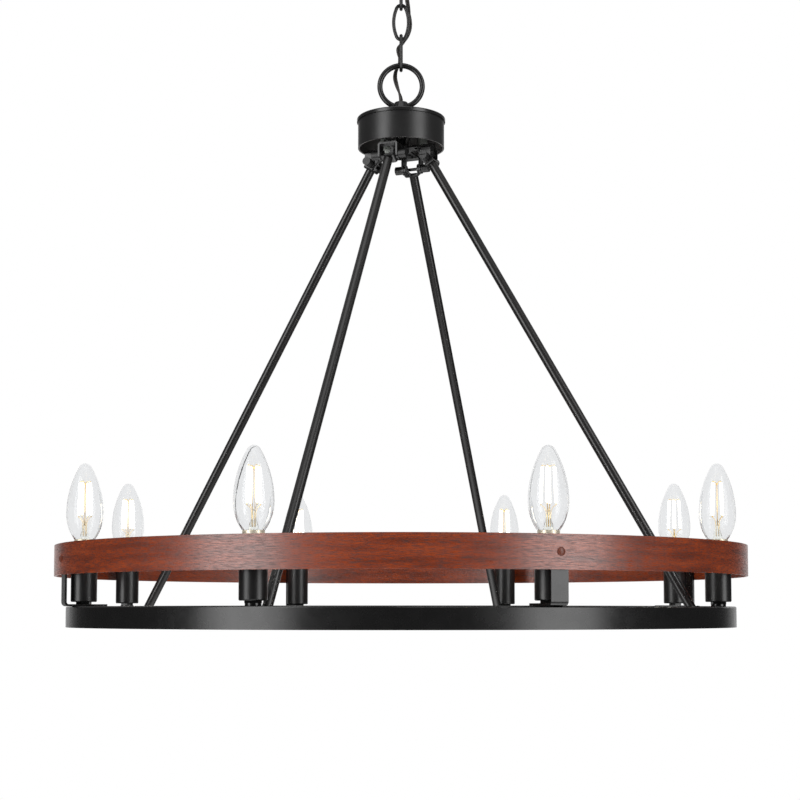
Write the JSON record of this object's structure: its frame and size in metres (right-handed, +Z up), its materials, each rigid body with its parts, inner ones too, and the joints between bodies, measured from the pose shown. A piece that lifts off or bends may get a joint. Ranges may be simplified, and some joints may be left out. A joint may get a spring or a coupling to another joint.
{
  "type": "wagon wheel chandelier",
  "caption": "Round wagon wheel chandelier: wood-look band over a black lamp ring with candle bulbs, rods up to a drum hub, chain and ceiling canopy.",
  "frame": {"origin": "on the ceiling plane, in the middle of the crossbar's top face, on the chandelier's vertical axis", "axes": "+Z up, along the hanging axis; +X along the crossbar, which points to the right of the picture; -Y towards the camera of the picture"},
  "size_m": [0.6857, 0.6858, 0.7375],
  "materials": {
    "black_metal": "satin black powder coat",
    "black_hardware": "black, slightly polished",
    "zinc_steel": "zinc plated",
    "green_screw": "green plated ground screw",
    "brass": "plain brass",
    "wood_finish": "red-brown mahogany look with fine dark grain, satin",
    "lead_jacket": "dark twisted lead",
    "wire_jacket": "insulated wire",
    "insulator": "moulded insulator",
    "cap_plastic": "moulded olive grey",
    "clear_glass": "clear",
    "gilt": "gilt metal look; solid stands for the hollow base, the glass stem and the filaments"
  },
  "bodies": {
    "ceiling_fitting": {"ceiling_crossbar": "zinc_steel", "crossbar_nipple": "brass", "crossbar_nuts": "brass", "ground_screw": "green_screw", "canopy": "black_metal", "canopy_collar": "black_metal", "canopy_loop": "black_metal", "cord_1": "lead_jacket"},
    "link_1": {"chain_link_1": "black_metal", "cord_2": "lead_jacket"},
    "link_2": {"chain_link_2": "black_metal", "cord_3": "lead_jacket"},
    "link_3": {"chain_link_3": "black_metal", "cord_4": "lead_jacket"},
    "wheel": {"hub_loop": "black_metal", "hub_nipple": "brass", "hub_nuts": "brass", "hub_lid": "black_metal", "hub_drum": "black_metal", "hub_spider": "black_metal", "hub_brackets": "black_metal", "rod_clevises": "black_metal", "pivot_bolts": "black_hardware", "pivot_nuts": "black_hardware", "rod_1": "black_metal", "rod_2": "black_metal", "rod_3": "black_metal", "rod_4": "black_metal", "ring_lugs": "black_metal", "lamp_ring": "black_metal", "ring_cover": "black_metal", "wood_band": "wood_finish", "band_straps": "black_metal", "band_fasteners": "black_hardware", "lamp_nipples": "brass", "lamp_nuts": "black_hardware", "lamp_covers": "black_metal", "lamp_holders": "insulator", "lamp_contacts": "brass", "splice_caps": "cap_plastic", "wiring": "wire_jacket"},
    "bulb_1": {"bulb_1_glass": "clear_glass", "bulb_1_base": "gilt"},
    "bulb_2": {"bulb_2_glass": "clear_glass", "bulb_2_base": "gilt"},
    "bulb_3": {"bulb_3_glass": "clear_glass", "bulb_3_base": "gilt"},
    "bulb_4": {"bulb_4_glass": "clear_glass", "bulb_4_base": "gilt"},
    "bulb_5": {"bulb_5_glass": "clear_glass", "bulb_5_base": "gilt"},
    "bulb_6": {"bulb_6_glass": "clear_glass", "bulb_6_base": "gilt"},
    "bulb_7": {"bulb_7_glass": "clear_glass", "bulb_7_base": "gilt"},
    "bulb_8": {"bulb_8_glass": "clear_glass", "bulb_8_base": "gilt"}
  },
  "joints": [
    {"name": "link_1_swing", "type": "hinge", "parent": "ceiling_fitting", "child": "link_1", "pos_m": [0, 0, -0.0635], "axis": [1, 0, 0], "range_deg": [-20, 20], "deforming": ["cord_1"]},
    {"name": "link_2_swing", "type": "hinge", "parent": "link_1", "child": "link_2", "pos_m": [0, 0, -0.09505], "axis": [0, 1, 0], "range_deg": [-20, 20], "deforming": ["cord_2"]},
    {"name": "link_3_swing", "type": "hinge", "parent": "link_2", "child": "link_3", "pos_m": [0, 0, -0.12735], "axis": [1, 0, 0], "range_deg": [-20, 20], "deforming": ["cord_3"]},
    {"name": "wheel_swing", "type": "hinge", "parent": "link_3", "child": "wheel", "pos_m": [0, 0, -0.15965], "axis": [0, 1, 0], "range_deg": [-20, 20], "deforming": ["cord_4"]},
    {"name": "bulb_1_out", "type": "slide", "parent": "wheel", "child": "bulb_1", "axis": [0, 0, 1], "range_m": [0, 0.02]},
    {"name": "bulb_2_out", "type": "slide", "parent": "wheel", "child": "bulb_2", "axis": [0, 0, 1], "range_m": [0, 0.02]},
    {"name": "bulb_3_out", "type": "slide", "parent": "wheel", "child": "bulb_3", "axis": [0, 0, 1], "range_m": [0, 0.02]},
    {"name": "bulb_4_out", "type": "slide", "parent": "wheel", "child": "bulb_4", "axis": [0, 0, 1], "range_m": [0, 0.02]},
    {"name": "bulb_5_out", "type": "slide", "parent": "wheel", "child": "bulb_5", "axis": [0, 0, 1], "range_m": [0, 0.02]},
    {"name": "bulb_6_out", "type": "slide", "parent": "wheel", "child": "bulb_6", "axis": [0, 0, 1], "range_m": [0, 0.02]},
    {"name": "bulb_7_out", "type": "slide", "parent": "wheel", "child": "bulb_7", "axis": [0, 0, 1], "range_m": [0, 0.02]},
    {"name": "bulb_8_out", "type": "slide", "parent": "wheel", "child": "bulb_8", "axis": [0, 0, 1], "range_m": [0, 0.02]}
  ]
}
